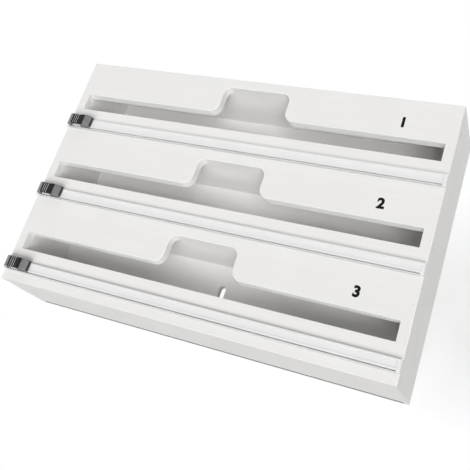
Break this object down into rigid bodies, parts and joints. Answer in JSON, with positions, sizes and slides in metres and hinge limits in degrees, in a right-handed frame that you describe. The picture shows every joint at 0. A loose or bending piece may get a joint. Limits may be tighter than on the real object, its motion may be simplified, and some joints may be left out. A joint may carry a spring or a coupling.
{
  "type": "kitchen wrap organizer",
  "caption": "Flat white board box with rows of full-width dispensing slots, finger notches, rails with sliding cutters below the slots, and a hinged front lid.",
  "frame": {"origin": "middle of the back panel's outer face, the face it lies on or hangs by", "axes": "+X along the slots from the parked cutters to the far end, +Y from the foot edge to the hinge edge, +Z out of the slotted front"},
  "size_m": [0.34, 0.2199, 0.0774],
  "materials": {
    "white_board": "satin white lacquer on board",
    "rail_plastic": "extruded white plastic, semi-gloss",
    "adhesive_tape": "white foam tape",
    "casing_plastic": "moulded grey plastic, fine texture",
    "grip_plastic": "moulded black plastic",
    "blade_steel": "ground steel",
    "hinge_steel": "nickel-plated steel",
    "magnet_metal": "nickel-plated disc"
  },
  "bodies": {
    "case": {"back_panel": "white_board", "top_panel": "white_board", "bottom_panel": "white_board", "left_side_panel": "white_board", "right_side_panel": "white_board", "upper_divider": "white_board", "lower_divider": "white_board", "case_magnets": "magnet_metal", "left_hinge_case_leaf": "hinge_steel", "right_hinge_case_leaf": "hinge_steel", "left_hinge_pin": "hinge_steel", "right_hinge_pin": "hinge_steel", "case_hinge_screws": "hinge_steel"},
    "lid": {"lid_panel": "white_board", "left_hinge_lid_leaf": "hinge_steel", "right_hinge_lid_leaf": "hinge_steel", "lid_hinge_screws": "hinge_steel", "lid_magnets": "magnet_metal", "upper_rail": "rail_plastic", "middle_rail": "rail_plastic", "lower_rail": "rail_plastic", "upper_rail_tape": "adhesive_tape", "middle_rail_tape": "adhesive_tape", "lower_rail_tape": "adhesive_tape", "upper_rail_stops": "rail_plastic", "middle_rail_stops": "rail_plastic", "lower_rail_stops": "rail_plastic"},
    "upper_cutter": {"upper_cutter_casing": "casing_plastic", "upper_cutter_grip": "grip_plastic", "upper_cutter_shoes": "casing_plastic", "upper_cutter_blade": "blade_steel"},
    "middle_cutter": {"middle_cutter_casing": "casing_plastic", "middle_cutter_grip": "grip_plastic", "middle_cutter_shoes": "casing_plastic", "middle_cutter_blade": "blade_steel"},
    "lower_cutter": {"lower_cutter_casing": "casing_plastic", "lower_cutter_grip": "grip_plastic", "lower_cutter_shoes": "casing_plastic", "lower_cutter_blade": "blade_steel"}
  },
  "joints": [
    {"name": "lid_hinge", "type": "hinge", "parent": "case", "child": "lid", "pos_m": [0, 0.1101, 0.0599], "axis": [-1, 0, 0], "range_deg": [0, 180]},
    {"name": "upper_cutter_slide", "type": "slide", "parent": "lid", "child": "upper_cutter", "axis": [1, 0, 0], "range_m": [0, 0.3121]},
    {"name": "middle_cutter_slide", "type": "slide", "parent": "lid", "child": "middle_cutter", "axis": [1, 0, 0], "range_m": [0, 0.3121]},
    {"name": "lower_cutter_slide", "type": "slide", "parent": "lid", "child": "lower_cutter", "axis": [1, 0, 0], "range_m": [0, 0.3121]}
  ]
}
